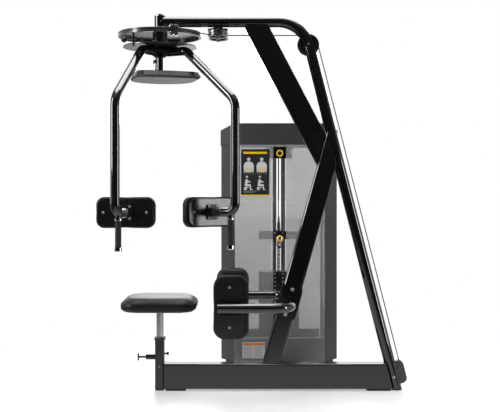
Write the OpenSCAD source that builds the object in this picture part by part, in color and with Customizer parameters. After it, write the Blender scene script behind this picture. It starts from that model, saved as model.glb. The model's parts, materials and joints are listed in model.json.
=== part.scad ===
// Rotary torso machine with one selectorised weight stack.
// Origin: on the floor, under the vertical axis that the seat post and the overhead hub share.
// +X runs along the base beam to the rear leg, +Y to the weight tower, +Z up. Millimetres.

/* [Main frame] */
// Outside diameter of the bent tube that makes the boom and the rear leg
leg_tube_d = 56; // [52:1:58]
// Height of the boom's centre line
boom_z = 1837; // [1830:1:1850]
// Lean of the rear leg from vertical, in degrees
leg_lean = 14.27; // [13.8:0.01:14.8]
// X of the rear leg's centre line at the floor
leg_foot_x = 1182; // [1172:1:1192]
// Height of the base beam
beam_h = 126; // [110:1:130]
// Width of the base beam, across the machine
base_w = 78; // [70:1:80]
// Thickness of the struts, across the machine
beam_w = 50; // [44:1:52]
// Width of the lower strut
lower_strut_w = 94; // [80:1:100]
// Width of the upper strut
upper_strut_w = 112; // [90:1:112]

/* [Swinging rig] */
// Direction the rig faces, in degrees from +X
rig_heading = -73; // [-80:1:-60]
// Outside diameter of the arm tubes
arm_d = 44; // [40:1:46]
// Distance of each arm forward of the axis
arm_ahead = 370; // [350:1:375]
// Distance of each arm to the side of the axis
arm_aside = 285; // [270:1:290]
// Height of the chest pads' centre line
chest_z = 890; // [880:1:920]
// Length of a chest pad
chest_pad_l = 286; // [260:1:300]
// Height of a chest pad
chest_pad_h = 150; // [130:1:160]
// Turn of each chest pad towards the user, in degrees
chest_toe = 20; // [15:1:25]
// Radius of the index disc
disc_r = 208; // [200:1:210]

/* [Seat and leg pads] */
// Length of the seat along X
seat_l = 380; // [340:1:400]
// Width of the seat along Y
seat_w = 340; // [300:1:360]
// Height of the seat's top
seat_z = 462; // [450:1:480]
// Height of the leg bars
leg_bar_z = 440; // [430:1:450]
// Height of a leg pad
leg_pad_h = 308; // [280:1:310]
// Width of a leg pad
leg_pad_w = 172; // [150:1:180]

/* [Weight tower] */
// X of the tower's middle
tower_x = 610; // [605:1:612]
// Y of the tower's front panel
tower_front = 380; // [378:1:400]
// Height of the tower with its cap
tower_top = 1357; // [1350:1:1380]
// Width of one weight plate
plate_w = 222; // [200:1:230]
// Pitch of the weight plates
plate_pitch = 22.2; // [22.1:0.1:22.5]
// Number of plates that stay down
plates_down = 15; // [10:1:15]
// Height that the two upper plates are lifted by
lift = 180; // [170:1:200]

/* [Cable] */
// Diameter of the coated cable
cable_d = 5; // [4:0.5:5]
// Radius of the cable's centre line on a large pulley
wrap_r = 47.5; // [46:0.5:48]
// Radius of the cable's centre line on a small pulley
small_wrap_r = 34; // [32:0.5:35]

/* [Hidden] */
$fn = 64;

// Gap left between welded or seated pieces, so that neighbours touch without overlapping
seat_gap = 0.1;
// Radial clearance of a running fit
run = 0.05;
// Hairline between a straight and a bend of one tube, bridged from inside
joint_gap = 0.02;
axle_r = 6;
cable_r = cable_d / 2;

// Boom and rear leg
leg_r = leg_tube_d / 2;
leg_wall = 3;
leg_bend_r = 162;
leg_slope = tan(leg_lean);
boom_corner = [leg_foot_x - boom_z * leg_slope, 0, boom_z];
leg_floor = [leg_foot_x, 0, 0];
foot_h = 8;
beam_z0 = foot_h;
beam_z1 = beam_z0 + beam_h;
beam_wall = 3;
reach = 2200;

// Struts: outer corner radius, and a centre point and a lean for each
strut_corner = 14;
lower_lean = 15.6;
lower_base = [558, 0, beam_z1];
upper_lean = 27.7;
upper_top = [470, 0, boom_z];

// Overhead pivot
housing_r = 28.5;
housing_z = [1790, 1866];
bearing_h = 12;
bearing_r = 23.5;
spindle_r = 12.5;
post_r = 17.5;

// Index disc
disc_z = [1757, 1780];
cable_z = 1769.5;
disc_hub_r = 37;
rim_w = 12;
web_t = 6;
groove_half = 3.6;
groove_depth = 5;
disc_wrap_r = disc_r - groove_depth + cable_r + 0.3;
anchor_angle = -66;
index_step = 15;
index_r = 165;

// Rig, in its own frame: x forward, y to the user's left
arm_r = arm_d / 2;
arm_wall = 3;
arm_top_z = 1683;
arm_elbow_z = 1420;
arm_root = [28, 34, arm_top_z];
arm_shoulder = [100, 110, arm_top_z];
arm_elbow = [arm_ahead, arm_aside, arm_elbow_z];
arm_wrist = [arm_ahead, arm_aside, chest_z];
arm_reach = 70;
arm_tip = arm_wrist - [1, 1, 0] * arm_reach / sqrt(2);
grip_at = arm_wrist - [1, 1, 0] * 25 / sqrt(2);
bar_r = 11;
grip_r = 15.5;
collar_r = 17;
grip_z = [734, 856];
carrier_r = 184.5;
carrier_z = [1708, 1713];
hub_z = [1657, carrier_z[0] - seat_gap];
boss_r = 34;
boss_top = 1739;
guard_z = [1542, 1576];
stay_at = [-36, -15];
stay_top = 1671;
lever_angle = -63;
lever_pivot_r = 130;
lever_z = 1734;
lever_t = 8;
knob_at_r = 222;
knob_z = 1726;

// Chest pads, each in its own frame: x outward from the user, y along the pad
chest_at = [215, 213, chest_z];
board_t = 12;
chest_cushion_t = 46;

// Leg pads
leg_bar_r = 24;
leg_bar_y = 290;
leg_bar_x = [297, 645];
leg_pad_x = 360;
leg_board_y = leg_bar_y - leg_bar_r - 9;
leg_cushion_t = 50;
bracket_t = 6;

// Seat
sleeve_size = [46, 60];
sleeve_top = 250;
bush_r = 19.8;
seat_post_r = 17.5;
seat_base = 400;
pin_z = 163;
pin_r = 5;
flat_x = 15.6;

// Tower
tower_half = 245;
tower_side = 318;
tower_depth = 380;
chamfer_y = 110;
tower_z0 = 70.3;
cap_z0 = 1242;
cap_shoulder = 1326;
sheet = 3;
slot_w = 70;
stack_y = 570;
plate_d = 110;
plate_t = 22;
stack_z0 = 212;
stack_z1 = stack_z0 + plates_down * plate_pitch;
lifted_z0 = stack_z1 + lift;
rod_r = 11.5;
rod_x = 24;
stem_r = 9;
head_z = [1246, 1256];
rail_z1 = 70;
pulley_t = 16;

// Pulley centres
corner_c = [741, 0, cable_z - wrap_r];
rear_c = [1165, 0, 20.5 + wrap_r];
floor_cable_z = rear_c.z - wrap_r;
turn_c = [tower_x + wrap_r, wrap_r, floor_cable_z];
base_c = [tower_x, stack_y + small_wrap_r, floor_cable_z + small_wrap_r];
top_c = [tower_x, stack_y + small_wrap_r, 1300];
guide_wrap_r = 49;
guide_x = 291;
guide_t = 28;

// ---------- helpers ----------
function unit(v) = v / norm(v);
function arc(c, r, a0, a1, n) = [for (i = [0:n]) let (a = a0 + (a1 - a0) * i / n) c + r * [cos(a), sin(a)]];
// Outline of a rectangle with rounded corners, centred
function round_rect(w, h, r) = concat(
  arc([w / 2 - r, h / 2 - r], r, 0, 90, 6),
  arc([r - w / 2, h / 2 - r], r, 90, 180, 6),
  arc([r - w / 2, r - h / 2], r, 180, 270, 6),
  arc([w / 2 - r, r - h / 2], r, 270, 360, 6));

// Places children with their own x, y and z axes along ex, ey and ez, at point o
module in_frame(o, ex, ey, ez)
  multmatrix([[ex.x, ey.x, ez.x, o.x], [ex.y, ey.y, ez.y, o.y], [ex.z, ey.z, ez.z, o.z], [0, 0, 0, 1]])
    children();

// Straight round bar or tube from a to b; ri = 0 makes it solid
module rod(a, b, ro, ri = 0) {
  ez = unit(b - a);
  side = abs(ez.z) < 0.9 ? [0, 0, 1] : [1, 0, 0];
  ex = unit(cross(side, ez));
  in_frame(a, ex, cross(ez, ex), ez)
    difference() {
      cylinder(h = norm(b - a), r = ro);
      if (ri > 0) translate([0, 0, -1]) cylinder(h = norm(b - a) + 2, r = ri);
    }
}

// Round arc about centre c, from direction e1 towards e2, through angle a
module bow(c, e1, e2, a, r, ro, ri = 0)
  in_frame(c, e1, e2, cross(e1, e2))
    rotate_extrude(angle = a, $fn = ro > 10 ? 96 : 48)
      translate([r, 0])
        difference() {
          circle(r = ro, $fn = ro > 10 ? 32 : 16);
          if (ri > 0) circle(r = ri, $fn = 32);
        }

// Short core that carries a bar or tube across the hairline where a straight meets a bend
module joint(at, dir, ro, ri = 0)
  rod(at - dir * ro / 8, at + dir * ro / 8, ro * 0.97, ri > 0 ? ri + ro * 0.03 : 0);

// Bent tube through the points p, with bend radius b[i] at corner i
module bent_tube(p, b, ro, ri = 0) {
  last = len(p) - 1;
  dirs = [for (i = [0:last - 1]) unit(p[i + 1] - p[i])];
  turns = [for (i = [1:last - 1]) acos(dirs[i - 1] * dirs[i])];
  trims = concat([0], [for (i = [1:last - 1]) b[i - 1] * tan(turns[i - 1] / 2)], [0]);
  for (i = [0:last - 1])
    rod(p[i] + dirs[i] * (trims[i] + (i > 0 ? joint_gap : 0)),
        p[i + 1] - dirs[i] * (trims[i + 1] + (i < last - 1 ? joint_gap : 0)), ro, ri);
  for (i = [1:last - 1]) {
    inward = unit(dirs[i] - dirs[i - 1] * (dirs[i - 1] * dirs[i]));
    start = p[i] - dirs[i - 1] * trims[i];
    bow(start + inward * b[i - 1], -inward, dirs[i - 1], turns[i - 1], b[i - 1], ro, ri);
    joint(start, dirs[i - 1], ro, ri);
    joint(p[i] + dirs[i] * trims[i], dirs[i], ro, ri);
  }
}

// Cylinder along Y, centred on c
module y_disc(c, r, w) translate(c + [0, w / 2, 0]) rotate([90, 0, 0]) cylinder(h = w, r = r);
// Cylinder along X, centred on c
module x_disc(c, r, w) translate(c - [w / 2, 0, 0]) rotate([0, 90, 0]) cylinder(h = w, r = r);

// Box between two corners
module block(a, b) translate(a) cube(b - a);

// Grooved cable pulley about Z, centred on the origin, with a ring of lightening holes
module pulley(wrap, outer, t, holes = 0) {
  bed = wrap - cable_r - 0.25;
  half = cable_r + 0.6;
  face = 4;
  difference() {
    rotate_extrude()
      polygon([
        [axle_r + run, -t / 2], [axle_r + 6, -t / 2], [axle_r + 6, -face], [bed - 6, -face],
        [bed - 6, -t / 2], [outer, -t / 2], [outer, -half - 1], [bed, -half], [bed, half],
        [outer, half + 1], [outer, t / 2], [bed - 6, t / 2], [bed - 6, face],
        [axle_r + 6, face], [axle_r + 6, t / 2], [axle_r + run, t / 2]
      ]);
    if (holes > 0) for (k = [0:holes - 1])
      rotate([0, 0, 360 * k / holes]) translate([(bed - 6 + axle_r + 6) / 2, 0, -t])
        cylinder(h = 2 * t, r = (bed - 12 - axle_r) / 2 - 2);
  }
}

// Solid of the boom and leg's outside, for coping other pieces to it
module leg_outside(grow)
  bent_tube([[0, 0, boom_z], boom_corner, leg_floor + [leg_slope, 0, -1] * 20], [leg_bend_r], leg_r + grow);

// Leaning rectangular tube of the struts, from a centre point, along a lean
module strut_tube(base, lean, w, len_down, len_up)
  translate(base) rotate([0, lean, 0]) translate([0, 0, -len_down])
    difference() {
      linear_extrude(len_down + len_up) polygon(round_rect(w, beam_w, strut_corner));
      translate([0, 0, -1])
        linear_extrude(len_down + len_up + 2)
          polygon(round_rect(w - 6, beam_w - 6, strut_corner - 3));
    }

// Everything on the far side of a leaning plane through a point
module beyond(point, lean)
  translate(point) rotate([0, lean, 0]) translate([0, -100, -reach]) cube([reach, 200, 2 * reach]);

module rig_frame() rotate([0, 0, rig_heading]) children();
module both_sides() {
  children();
  mirror([0, 1, 0]) children();
}

// ---------- main frame ----------
module main_tube()
  color("black")
    difference() {
      bent_tube([[0, 0, boom_z], boom_corner, leg_floor], [leg_bend_r], leg_r, leg_r - leg_wall);
      translate([0, 0, boom_z - 60]) cylinder(h = 120, r = housing_r + seat_gap);
      block([-60, -60, boom_z - 60], [0, 60, boom_z + 60]);
      block([leg_foot_x - 80, -60, -60], [leg_foot_x + 80, 60, foot_h]);
      for (c = [corner_c, rear_c]) {
        y_disc(c, wrap_r + 12.5, pulley_t + 6);
        y_disc(c, axle_r + run, 80);
      }
      block([corner_c.x - 75, -6, cable_z - 7], [corner_c.x, 6, cable_z + 7]);
    }

module base_beam()
  color("dimgray")
    difference() {
      translate([sleeve_size.x / 2 + seat_gap, 0, (beam_z0 + beam_z1) / 2]) rotate([90, 0, 90])
        difference() {
          linear_extrude(leg_foot_x) polygon(round_rect(base_w, beam_h, 8));
          translate([0, 0, -1]) linear_extrude(leg_foot_x + 2)
            polygon(round_rect(base_w - 2 * beam_wall, beam_h - 2 * beam_wall, 5));
        }
      beyond(leg_floor - [22, 0, 0], -leg_lean);
      leg_outside(seat_gap);
      block([turn_c.x - 62, 10, floor_cable_z - 10], [turn_c.x + 62, 60, floor_cable_z + 11]);
    }

module lower_strut()
  color("black")
    difference() {
      strut_tube(lower_base, lower_lean, lower_strut_w, 60, 1300);
      block([200, -60, -60], [900, 60, beam_z1 + seat_gap]);
      beyond(leg_floor, -leg_lean);
      leg_outside(seat_gap);
    }

module upper_strut()
  color("black")
    difference() {
      strut_tube(upper_top, -upper_lean, upper_strut_w, 900, 80);
      block([200, -60, boom_z], [900, 60, boom_z + 200]);
      leg_outside(seat_gap);
      beyond(lower_base - [lower_strut_w / 2 / cos(lower_lean) + seat_gap, 0, 0], lower_lean);
      x_disc([upper_top.x + 50, 0, cable_z], cable_r + 4, 300);
    }

module pivot_housing()
  color("black")
    difference() {
      translate([0, 0, housing_z[0]]) cylinder(h = housing_z[1] - housing_z[0], r = housing_r);
      translate([0, 0, housing_z[0] - 1]) cylinder(h = 100, r = spindle_r + 6);
      translate([0, 0, housing_z[0] - 1]) cylinder(h = bearing_h + 1, r = bearing_r + 0.02);
      translate([0, 0, housing_z[1] - bearing_h]) cylinder(h = bearing_h + 1, r = bearing_r + 0.02);
    }

module pivot_bearings()
  color("silver")
    for (z = [housing_z[0], housing_z[1] - bearing_h + 0.5])
      translate([0, 0, z])
        rotate_extrude()
          polygon([
            [spindle_r + run, 0], [bearing_r, 0], [bearing_r, bearing_h - 0.5],
            [spindle_r + run, bearing_h - 0.5]
          ]);

module rubber_feet() {
  shoes = [[80, 100], [1090, 120]];
  foot_x = [tower_x - 265, tower_x + 265];
  foot_y = [tower_front + 75, tower_front + 335];
  color("black") {
    linear_extrude(foot_h - 2 - seat_gap) polygon(round_rect(sleeve_size.x - 4, sleeve_size.y - 4, 6));
    for (s = shoes)
      translate([s[0], 0, 0]) linear_extrude(foot_h - seat_gap) polygon(round_rect(s[1], base_w - 6, 6));
    translate([leg_foot_x - 1, 0, 0]) cylinder(h = foot_h - seat_gap, r = leg_r - 1);
    for (x = foot_x)
      for (y = foot_y)
        translate([x, y, 0]) cylinder(h = foot_h - seat_gap, r = 22);
  }
}

// ---------- seat ----------
module seat_sleeve()
  color("black")
    difference() {
      union() {
        translate([0, 0, foot_h - 2]) linear_extrude(sleeve_top - foot_h + 2)
          polygon(round_rect(sleeve_size.x, sleeve_size.y, 8));
        rod([-70, 0, pin_z], [-10, 0, pin_z], 13.5);
      }
      translate([0, 0, foot_h - 3]) cylinder(h = sleeve_top, r = bush_r + seat_gap);
      rod([-80, 0, pin_z], [-10, 0, pin_z], pin_r + run);
    }

module seat_bush()
  color("dimgray")
    difference() {
      union() {
        translate([0, 0, 60]) cylinder(h = sleeve_top - 55, r = bush_r);
        translate([0, 0, sleeve_top + seat_gap]) linear_extrude(12)
          polygon(round_rect(sleeve_size.x + 6, sleeve_size.y + 6, 10));
      }
      translate([0, 0, 50]) cylinder(h = 300, r = seat_post_r + run);
      rod([-30, 0, pin_z], [-10, 0, pin_z], pin_r + 0.6);
    }

module seat_post()
  color("silver")
    difference() {
      union() {
        translate([0, 0, 60]) cylinder(h = seat_base - 65, r = seat_post_r);
        translate([0, 0, seat_base - 6]) linear_extrude(6 - seat_gap) polygon(round_rect(240, 200, 20));
      }
      translate([0, 0, 59]) cylinder(h = seat_base - 70, r = seat_post_r - 3);
      block([-30, -6, 40], [-flat_x, 6, pin_z + 55]);
      for (k = [-4:2])
        rod([-30, 0, pin_z + 20 * k], [-5, 0, pin_z + 20 * k], pin_r + 0.3);
    }

module seat_cushion()
  color("dimgray")
    translate([0, 0, seat_base]) linear_extrude(seat_z - seat_base) polygon(round_rect(seat_l, seat_w, 70));

module seat_pin()
  color("black") {
    rod([-108, 0, pin_z], [-flat_x - 0.4, 0, pin_z], pin_r);
    rod([-108, 0, pin_z - 18], [-108, 0, pin_z + 18], 4);
  }

// ---------- leg pads ----------
module leg_bracket()
  color("black")
    both_sides() {
      strut_x = lower_base.x + (leg_bar_z - lower_base.z) * tan(lower_lean);
      translate([strut_x, -beam_w / 2 - seat_gap, leg_bar_z]) rotate([0, lower_lean, 0])
        rotate([90, 0, 0]) linear_extrude(bracket_t) polygon(round_rect(104, 160, 8));
      difference() {
        y_disc([leg_bar_x[1], -beam_w / 2 - bracket_t - 11, leg_bar_z], leg_bar_r + 5, 24);
        y_disc([leg_bar_x[1], -beam_w / 2 - bracket_t - 23, leg_bar_z], leg_bar_r + seat_gap, 24 + 20);
      }
    }

module leg_bars()
  color("black")
    both_sides() {
      inner_y = beam_w / 2 + bracket_t + 1.2;
      bent_tube(
        [[leg_bar_x[0] + 4, -leg_bar_y, leg_bar_z], [leg_bar_x[1], -leg_bar_y, leg_bar_z],
         [leg_bar_x[1], -inner_y, leg_bar_z]], [90], leg_bar_r, leg_bar_r - 3);
      rod([leg_bar_x[0], -leg_bar_y, leg_bar_z], [leg_bar_x[0] + 4, -leg_bar_y, leg_bar_z], leg_bar_r);
      difference() {
        block([leg_pad_x - 50, -leg_bar_y + 15, leg_bar_z - 36],
              [leg_pad_x + 46, -leg_board_y - seat_gap, leg_bar_z + 36]);
        rod([leg_bar_x[0], -leg_bar_y, leg_bar_z], [leg_bar_x[1], -leg_bar_y, leg_bar_z], leg_bar_r - 1.5);
      }
    }

module leg_boards()
  color("black")
    both_sides()
      translate([leg_pad_x - 7, -leg_board_y + board_t, leg_bar_z - 2]) rotate([90, 0, 0])
        linear_extrude(board_t) polygon(round_rect(leg_pad_w - 30, leg_pad_h - 24, 50));

module leg_cushion()
  translate([leg_pad_x, -leg_board_y + board_t + leg_cushion_t, leg_bar_z - 2]) rotate([90, 0, 0])
    linear_extrude(leg_cushion_t - seat_gap) polygon(round_rect(leg_pad_w, leg_pad_h, 55));

module near_leg_pad() color("dimgray") leg_cushion();
module far_leg_pad() color("dimgray") mirror([0, 1, 0]) leg_cushion();

// Domed screw head along -Y at point c
module screw_head(c, r) translate(c) rotate([90, 0, 0]) rotate_extrude()
  polygon(concat([[0, 0], [r, 0]], [for (a = [0:15:90]) [r * cos(a), 1.5 + (r * 0.5) * sin(a)]]));

module frame_bolts()
  color("silver") {
    both_sides() {
      for (side = [-1, 1]) {
        bolt_z = leg_bar_z + side * 62;
        bolt_x = lower_base.x + (bolt_z - lower_base.z) * tan(lower_lean);
        screw_head([bolt_x, -beam_w / 2 - bracket_t - 2 * seat_gap, bolt_z], 9);
        screw_head([leg_pad_x - 7, -leg_board_y - seat_gap, leg_bar_z + side * 95], 7);
      }
    }
    screw_head([0, -sleeve_size.y / 2 - seat_gap, 120], 5);
    rod([sleeve_size.x / 2 + seat_gap, 0, 180], [34, 0, 180], 4);
    rod([34, 0, 180], [44, 0, 180], 8.5);
  }

// ---------- overhead cable guides ----------
module guide_bracket() {
  plate_z = [1785, 1793];
  color("black")
    difference() {
      union() {
        translate([guide_x, 0, plate_z[0]]) linear_extrude(plate_z[1] - plate_z[0])
          polygon(round_rect(104, 2 * guide_wrap_r + 60, 28));
        block([guide_x - 25, -22, plate_z[1] - 1], [guide_x + 25, 22, boom_z]);
      }
      leg_outside(seat_gap);
      for (y = [-guide_wrap_r, guide_wrap_r])
        translate([guide_x, y, plate_z[0] - 1]) cylinder(h = 20, r = axle_r + run);
    }
}

module guide_pulley(y)
  color("gray") translate([guide_x, y, cable_z]) pulley(guide_wrap_r, guide_wrap_r - 0.6, guide_t, 6);
module near_guide_pulley() guide_pulley(-guide_wrap_r);
module far_guide_pulley() guide_pulley(guide_wrap_r);

module large_pulley() pulley(wrap_r, wrap_r + 7, pulley_t);
module small_pulley() pulley(small_wrap_r, small_wrap_r + 6, pulley_t);
module corner_pulley() color("black") translate(corner_c) rotate([90, 0, 0]) large_pulley();
module rear_pulley() color("black") translate(rear_c) rotate([90, 0, 0]) large_pulley();
module turn_pulley() color("black") translate(turn_c) pulley(wrap_r, wrap_r + 5, pulley_t);
module tower_base_pulley() color("black") translate(base_c) rotate([0, 90, 0]) small_pulley();
module tower_top_pulley() color("black") translate(top_c) rotate([0, 90, 0]) small_pulley();

// Axle bolt along Z from z0 to z1, with a head below z0
module axle(len_mm, head_r = 10) {
  cylinder(h = len_mm, r = axle_r);
  translate([0, 0, -7]) cylinder(h = 7, r = head_r, $fn = 6);
}

module pulley_axles()
  color("silver") {
    for (y = [-guide_wrap_r, guide_wrap_r])
      translate([guide_x, y, cable_z - guide_t / 2 - 3]) axle(1793 - cable_z + guide_t / 2 + 3);
    for (c = [corner_c, rear_c])
      translate(c - [0, leg_r + 1, 0]) rotate([-90, 0, 0]) axle(2 * leg_r + 5, 8);
    translate([turn_c.x, turn_c.y, rail_z1 + seat_gap]) rotate([180, 0, 0])
      axle(rail_z1 - foot_h - 2, 8);
    for (c = [base_c, top_c])
      translate(c - [20, 0, 0]) rotate([0, 90, 0]) axle(40, 9);
  }

// Slab of the rear guard, w wide, its outline shrunk by g; z runs up the leg
module guard_slab(w, g)
  translate([20, w / 2, 14]) rotate([90, 0, 0]) linear_extrude(w)
    polygon(round_rect(88 - 2 * g, 116 - 2 * g, 26 - g));

module rear_pulley_guard() {
  inner_w = pulley_t + 3;
  color("dimgray")
    difference() {
      translate(rear_c) rotate([0, -leg_lean, 0])
        difference() {
          guard_slab(inner_w + 7, 0);
          guard_slab(inner_w, 4);
          block([wrap_r - 5.5, -5, 50], [wrap_r + 5.5, 5, 90]);
        }
      leg_outside(seat_gap);
      y_disc(rear_c, wrap_r + 10, inner_w - 0.2);
    }
}

// ---------- weight tower ----------
// Plan outline of the tower, grown outward by g
function tower_plan(g) = [
  [tower_x - tower_half - g / 2, tower_front - g], [tower_x + tower_half + g / 2, tower_front - g],
  [tower_x + tower_side + g, tower_front + chamfer_y - g / 2],
  [tower_x + tower_side + g, tower_front + tower_depth - chamfer_y + g / 2],
  [tower_x + tower_half + g / 2, tower_front + tower_depth + g],
  [tower_x - tower_half - g / 2, tower_front + tower_depth + g],
  [tower_x - tower_side - g, tower_front + tower_depth - chamfer_y + g / 2],
  [tower_x - tower_side - g, tower_front + chamfer_y - g / 2]
];

module tower_panel(y)
  difference() {
    block([tower_x - tower_half + 1, y, tower_z0], [tower_x + tower_half - 1, y + sheet, cap_z0 - seat_gap]);
    block([tower_x - slot_w / 2, y - 5, stack_z0], [tower_x + slot_w / 2, y + 10, cap_z0 - 12]);
  }

module front_panel() color([0.7, 0.7, 0.7, 0.6]) tower_panel(tower_front);
module rear_panel() color([0.7, 0.7, 0.7, 0.6]) tower_panel(tower_front + tower_depth - sheet);

module side_panels()
  color("dimgray")
    difference() {
      translate([0, 0, tower_z0]) linear_extrude(cap_z0 - tower_z0 - seat_gap)
        difference() {
          polygon(tower_plan(0));
          polygon(tower_plan(-sheet));
        }
      block([tower_x - tower_half, 0, 0], [tower_x + tower_half, 900, 1500]);
    }

// Cross-section of the cap, seen along Y, shrunk by g
module cap_section(g)
  rotate([90, 0, 0]) translate([0, 0, -900]) linear_extrude(900)
    polygon([
      [tower_x - 400, cap_z0 - g], [tower_x + 400, cap_z0 - g], [tower_x + 400, cap_shoulder - g - 34],
      [tower_x + tower_side, cap_shoulder - g], [tower_x + tower_half, tower_top - g],
      [tower_x - tower_half, tower_top - g], [tower_x - tower_side, cap_shoulder - g],
      [tower_x - 400, cap_shoulder - g - 34]
    ]);

module top_cap()
  color("dimgray")
    difference() {
      intersection() {
        translate([0, 0, cap_z0]) linear_extrude(200) polygon(tower_plan(4));
        cap_section(0);
      }
      intersection() {
        translate([0, 0, cap_z0 - 5]) linear_extrude(200) polygon(tower_plan(0.5));
        cap_section(4);
      }
    }

module tower_base() {
  cross_x = [560, 730];
  rail_x = [tower_x - 292, tower_x + 292];
  rail_y = [tower_front + 50, tower_front + 310];
  rail_w = 50;
  wall = 4;
  web_x = [tower_x - 18, tower_x + 13];
  kick_y = [tower_front + sheet + 3, tower_front + tower_depth - sheet - 5];
  kick_z = 196;
  color("dimgray")
    difference() {
      union() {
        difference() {
          union() {
            block([cross_x[0], base_w / 2 + seat_gap, foot_h],
                  [cross_x[1], tower_front + tower_depth - 4, rail_z1]);
            for (y = rail_y) block([rail_x[0], y, foot_h], [rail_x[1], y + rail_w, rail_z1]);
            for (x = [rail_x[0], rail_x[1] - 40])
              block([x, rail_y[0], foot_h], [x + 40, rail_y[1] + rail_w, rail_z1]);
            for (y = kick_y)
              block([tower_x - tower_half + 6, y, rail_z1 - 1], [tower_x + tower_half - 6, y + 2, kick_z]);
          }
          block([cross_x[0] + wall, 0, foot_h + wall], [cross_x[1] - wall, rail_y[1], rail_z1 - wall]);
          for (y = rail_y)
            block([rail_x[0] - 1, y + wall, foot_h + wall],
                  [rail_x[1] + 1, y + rail_w - wall, rail_z1 - wall]);
        }
        for (x = web_x) block([x, base_c.y - 16, foot_h + 1], [x + 5, base_c.y + 16, rail_z1 - 1]);
      }
      block([tower_x - 12, base_c.y - 46, rail_z1 - 10], [tower_x + 12, base_c.y + 46, rail_z1 + 5]);
      x_disc(base_c, axle_r + run, 60);
      translate([turn_c.x, turn_c.y, 0]) cylinder(h = 90, r = axle_r + run);
    }
}

module tower_frame() {
  post_x = tower_x - 292;
  color("dimgray")
    difference() {
      union() {
        for (side = [0, 1])
          translate([side * 2 * tower_x, 0, 0]) mirror([side, 0, 0]) {
            block([post_x, 540, rail_z1 + seat_gap], [post_x + 40, 600, head_z[0] + 1]);
            block([top_c.x - 17, top_c.y - 16, head_z[1] - 1], [top_c.x - 11, top_c.y + 16, top_c.z + 14]);
          }
        block([post_x, 520, head_z[0]], [2 * tower_x - post_x, 622, head_z[1]]);
        block([post_x, 540, stack_z0 - 54], [2 * tower_x - post_x, 600, stack_z0 - 42]);
      }
      for (side = [-1, 1])
        translate([tower_x + side * rod_x, stack_y, 0]) cylinder(h = 1400, r = rod_r + seat_gap);
      translate([tower_x, stack_y, 100]) cylinder(h = 1200, r = 10);
      x_disc(top_c, axle_r + run, 60);
    }
}

module guide_rods()
  color("silver")
    for (side = [-1, 1])
      rod([tower_x + side * rod_x, stack_y, rail_z1 + seat_gap],
          [tower_x + side * rod_x, stack_y, head_z[1] + 8], rod_r);

module stack_bumpers()
  color("black")
    for (side = [-1, 1])
      rod([tower_x + side * rod_x, stack_y, stack_z0 - 42 + seat_gap],
          [tower_x + side * rod_x, stack_y, stack_z0 - seat_gap], 17, rod_r + seat_gap);

// Weight plate with rod holes, stem hole and selector hole, its underside at z
module weight_plate(z)
  translate([tower_x, stack_y, z])
    difference() {
      block([-plate_w / 2, -plate_d / 2, 0], [plate_w / 2, plate_d / 2, plate_t]);
      for (side = [-1, 1]) translate([side * rod_x, 0, -1]) cylinder(h = plate_t + 2, r = rod_r + 0.6);
      translate([0, 0, -1]) cylinder(h = plate_t + 2, r = stem_r + 1.5);
      rod([0, -plate_d / 2 - 1, plate_t / 2], [0, 0, plate_t / 2], pin_r + 0.2);
    }

module weight_plates()
  color("black")
    for (i = [0:plates_down - 1]) weight_plate(stack_z0 + i * plate_pitch);

module lifted_plates()
  color("black") {
    weight_plate(lifted_z0);
    weight_plate(lifted_z0 + plate_pitch);
  }

module selector_stem() {
  top = lifted_z0 + 2 * plate_pitch;
  color("silver")
    difference() {
      union() {
        rod([tower_x, stack_y, stack_z0 + lift + 4], [tower_x, stack_y, top + 48], stem_r);
        rod([tower_x, stack_y, top + seat_gap], [tower_x, stack_y, top + 6], stem_r + 3);
        rod([tower_x, stack_y, top + 48], [tower_x, stack_y, top + 78], stem_r - 3);
        rod([tower_x, stack_y, top + 77], [tower_x, stack_y, top + 380], cable_r - 0.7);
      }
      for (i = [0:plates_down])
        rod([tower_x, stack_y - 20, stack_z0 + lift + plate_t / 2 + i * plate_pitch],
            [tower_x, stack_y + 20, stack_z0 + lift + plate_t / 2 + i * plate_pitch], pin_r + 0.2);
    }
}

module selector_pin() {
  z = lifted_z0 + plate_t / 2;
  front = tower_front - 18;
  color("gold") {
    rod([tower_x, front, z], [tower_x, stack_y + 7, z], pin_r);
    rod([tower_x, front - 12, z], [tower_x, front, z], 13);
    rod([tower_x, front - 16, z], [tower_x, front, z], 19, 12.9);
  }
}

module increment_weight() {
  z0 = 1174;
  size = [150, 70, 58];
  color("black")
    difference() {
      union() {
        block([tower_x - size.x / 2, stack_y - size.y / 2, z0],
              [tower_x + size.x / 2, stack_y + size.y / 2, z0 + size.z]);
        rod([tower_x, tower_front - 10, z0 + 20], [tower_x, stack_y - size.y / 2 + 5, z0 + 20], pin_r);
        rod([tower_x, tower_front - 24, z0 + 20], [tower_x, tower_front - 10, z0 + 20], 19);
      }
      for (side = [-1, 1])
        translate([tower_x + side * rod_x, stack_y, z0 - 1]) cylinder(h = size.z + 2, r = rod_r + 0.6);
      translate([tower_x, stack_y, z0 - 1]) cylinder(h = size.z + 2, r = 10);
    }
}

module info_plates()
  color("gray") {
    block([402, tower_front - 2, 964], [554, tower_front - seat_gap, 1217]);
    block([408, tower_front - 2, 90], [530, tower_front - seat_gap, 177]);
  }

// ---------- cable ----------
// Straight run of cable, carried a little way into the bend at each end
module span(a, b) {
  d = unit(b - a);
  rod(a + d * joint_gap, b - d * joint_gap, cable_r);
  joint(a, d, cable_r);
  joint(b, d, cable_r);
}

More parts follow.
